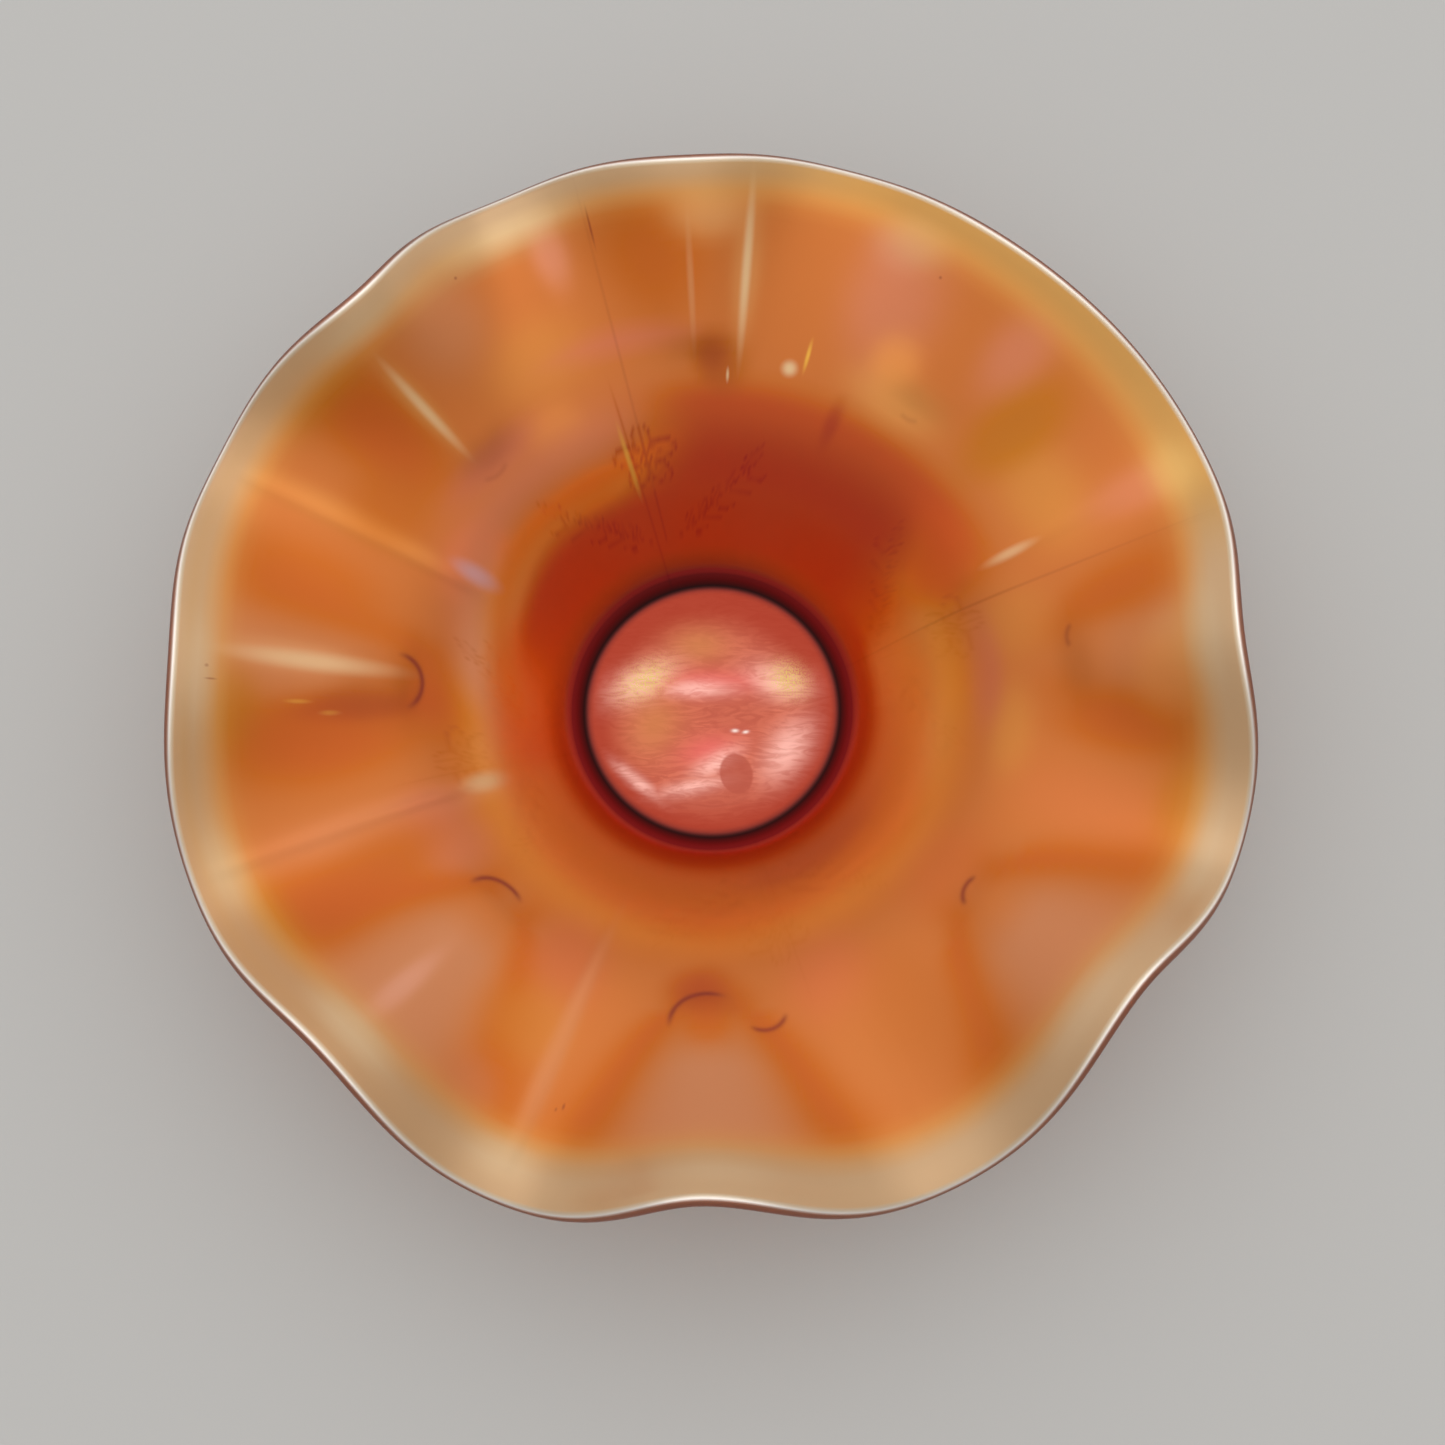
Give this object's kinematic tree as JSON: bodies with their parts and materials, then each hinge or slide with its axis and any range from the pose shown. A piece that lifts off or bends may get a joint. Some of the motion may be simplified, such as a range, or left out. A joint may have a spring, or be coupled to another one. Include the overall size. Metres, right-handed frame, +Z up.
{
  "type": "ruffled glass bowl",
  "caption": "Wide shallow bowl of pressed orange lustre glass on a low ring foot, with a ruffled flaring wall, a clear rim band and moulded flower sprays outside.",
  "frame": {"origin": "centre of the ring on which the foot rests, in the plane of the table", "axes": "+Z up along the bowl's axis; +X to the right and +Y away from the viewer in the source view"},
  "size_m": [0.2256, 0.225, 0.0657],
  "materials": {
    "plum_glass": "polished, looks dark where the ring is seen through the glass",
    "rose_glass": "polished with a worn pink lustre",
    "amber_glass": "polished with a gold lustre",
    "marigold_glass": "polished with a satin pink and gold lustre",
    "clear_glass": "fire polished, nearly clear"
  },
  "bodies": {
    "root": {"foot_ring": "plum_glass", "floor_disc": "rose_glass", "cup_wall": "amber_glass", "ruffled_flare": "marigold_glass", "rim_edge": "clear_glass", "mould_seams": "marigold_glass", "flower_relief": "amber_glass"}
  },
  "joints": []
}
